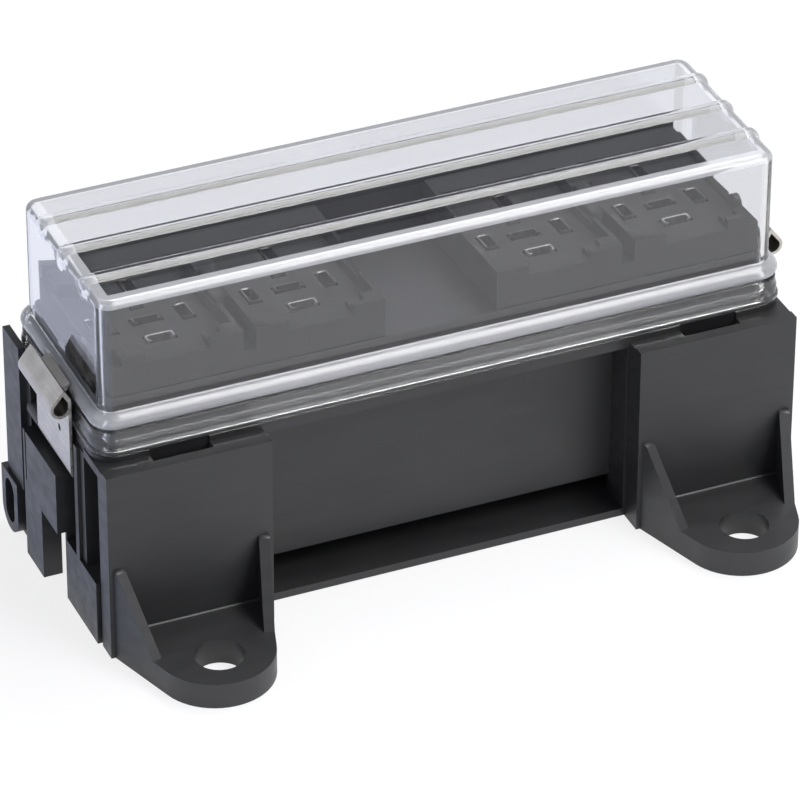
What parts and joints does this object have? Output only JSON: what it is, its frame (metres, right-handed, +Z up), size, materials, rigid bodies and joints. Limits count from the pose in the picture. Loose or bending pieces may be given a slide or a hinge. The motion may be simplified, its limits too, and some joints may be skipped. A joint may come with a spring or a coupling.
{
  "type": "fuse box",
  "caption": "Long black fuse box with a clear ribbed lift-off cover, rolled spring clips at both ends, blade sockets inside and bolt-down feet.",
  "frame": {"origin": "midway between the two foot holes, on the mounting plane", "axes": "+X along the box from its left end to its right end, +Y from the feet to the back, +Z up to the cover"},
  "size_m": [0.1648, 0.0818, 0.0815],
  "materials": {
    "housing": "satin",
    "clear_cover": "clear",
    "gasket": "matte",
    "spring_steel": "satin",
    "socket_block": "matte",
    "terminal": "tinned"
  },
  "bodies": {
    "housing": {"base": "housing", "gasket": "gasket", "block_left": "socket_block", "block_right": "socket_block", "terminal_1_front": "terminal", "terminal_1_centre": "terminal", "terminal_1_side_a": "terminal", "terminal_1_side_b": "terminal", "terminal_1_rear": "terminal", "terminal_2_front": "terminal", "terminal_2_centre": "terminal", "terminal_2_side_a": "terminal", "terminal_2_side_b": "terminal", "terminal_2_rear": "terminal", "terminal_3_front": "terminal", "terminal_3_centre": "terminal", "terminal_3_side_a": "terminal", "terminal_3_side_b": "terminal", "terminal_3_rear": "terminal", "terminal_4_front": "terminal", "terminal_4_centre": "terminal", "terminal_4_side_a": "terminal", "terminal_4_side_b": "terminal", "terminal_4_rear": "terminal"},
    "cover": {"cover": "clear_cover"},
    "clip_left": {"clip_left": "spring_steel"},
    "clip_right": {"clip_right": "spring_steel"}
  },
  "joints": [
    {"name": "cover_lift", "type": "slide", "parent": "housing", "child": "cover", "axis": [0, 0, 1], "range_m": [0, 0.025]},
    {"name": "clip_left_swing", "type": "hinge", "parent": "housing", "child": "clip_left", "pos_m": [-0.07659, 0.042, 0.0355], "axis": [0, -1, 0], "range_deg": [0, 70]},
    {"name": "clip_right_swing", "type": "hinge", "parent": "housing", "child": "clip_right", "pos_m": [0.07659, 0.042, 0.0355], "axis": [0, 1, 0], "range_deg": [0, 70]}
  ],
  "couplings": [
    {"joint": "clip_left_swing", "follows": "cover_lift", "rad_per_m": 48},
    {"joint": "clip_right_swing", "follows": "cover_lift", "rad_per_m": 48}
  ]
}
